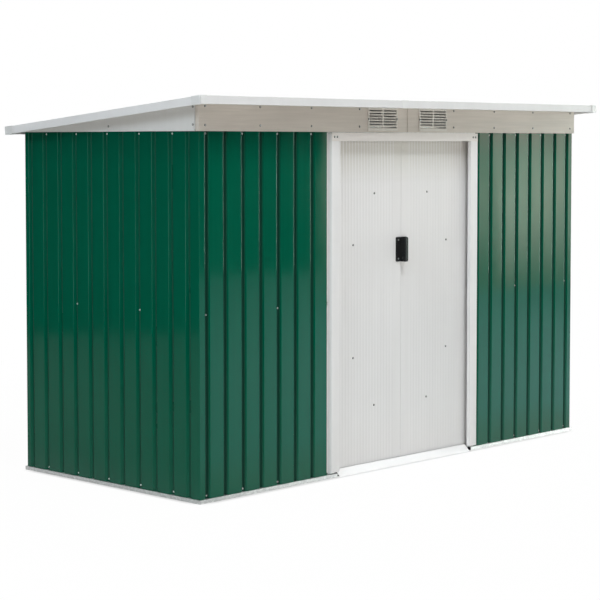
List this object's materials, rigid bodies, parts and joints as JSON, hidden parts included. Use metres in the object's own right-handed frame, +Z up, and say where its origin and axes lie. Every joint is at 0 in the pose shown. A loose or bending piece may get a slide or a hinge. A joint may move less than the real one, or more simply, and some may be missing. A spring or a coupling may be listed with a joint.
{
  "type": "metal storage shed",
  "caption": "Hollow garden shed of ribbed green steel sheets on a base frame, with a single-slope white roof, louvre vents and sliding white doors that open behind the front wall.",
  "frame": {"origin": "middle of the model's box, on the ground", "axes": "+Z up, -Y out of the front with the doors, +X to the right seen from the front"},
  "size_m": [2.8224, 1.3098, 1.7035],
  "materials": {
    "green_sheet": "semi-gloss coil coating",
    "white_sheet": "semi-gloss coil coating",
    "galvanised": "zinc coated",
    "white_plastic": "satin moulded",
    "black_plastic": "satin moulded",
    "nylon": "matt moulded"
  },
  "bodies": {
    "shed": {"front_base_rail_left": "galvanised", "front_base_rail_right": "galvanised", "left_base_rail": "galvanised", "right_base_rail": "galvanised", "back_base_rail": "galvanised", "door_ramp": "white_sheet", "door_floor_track": "galvanised", "front_left_corner_sheet": "green_sheet", "front_right_corner_sheet": "green_sheet", "back_left_corner_sheet": "green_sheet", "back_right_corner_sheet": "green_sheet", "front_left_outer_sheet": "green_sheet", "front_left_inner_sheet": "green_sheet", "front_right_outer_sheet": "green_sheet", "front_right_inner_sheet": "green_sheet", "left_wall_sheet": "green_sheet", "right_wall_sheet": "green_sheet", "back_wall_sheet_left": "green_sheet", "back_wall_sheet_middle": "green_sheet", "back_wall_sheet_right": "green_sheet", "front_top_rail": "galvanised", "left_top_rail": "galvanised", "right_top_rail": "galvanised", "back_top_rail": "galvanised", "door_top_track": "galvanised", "left_jamb": "white_sheet", "right_jamb": "white_sheet", "door_head": "white_sheet", "front_fascia_left": "white_sheet", "front_fascia_right": "white_sheet", "back_fascia": "white_sheet", "left_gable": "white_sheet", "right_gable": "white_sheet", "left_vent": "white_plastic", "right_vent": "white_plastic", "roof_sheet_left": "white_sheet", "roof_sheet_middle": "white_sheet", "roof_sheet_right": "white_sheet", "roof_beam": "galvanised", "front_roof_trim": "white_sheet", "back_roof_trim": "white_sheet", "left_roof_trim": "white_sheet", "right_roof_trim": "white_sheet", "roof_corner_caps": "white_plastic", "roof_trim_joiner": "white_plastic"},
    "left_door": {"left_door_panel": "white_sheet", "left_door_braces": "galvanised", "left_door_sliders": "nylon", "left_door_handle": "black_plastic"},
    "right_door": {"right_door_panel": "white_sheet", "right_door_braces": "galvanised", "right_door_sliders": "nylon", "right_door_handle": "black_plastic"}
  },
  "joints": [
    {"name": "left_door_slide", "type": "slide", "parent": "shed", "child": "left_door", "axis": [-1, 0, 0], "range_m": [0, 0.43]},
    {"name": "right_door_slide", "type": "slide", "parent": "shed", "child": "right_door", "axis": [1, 0, 0], "range_m": [0, 0.43]}
  ]
}
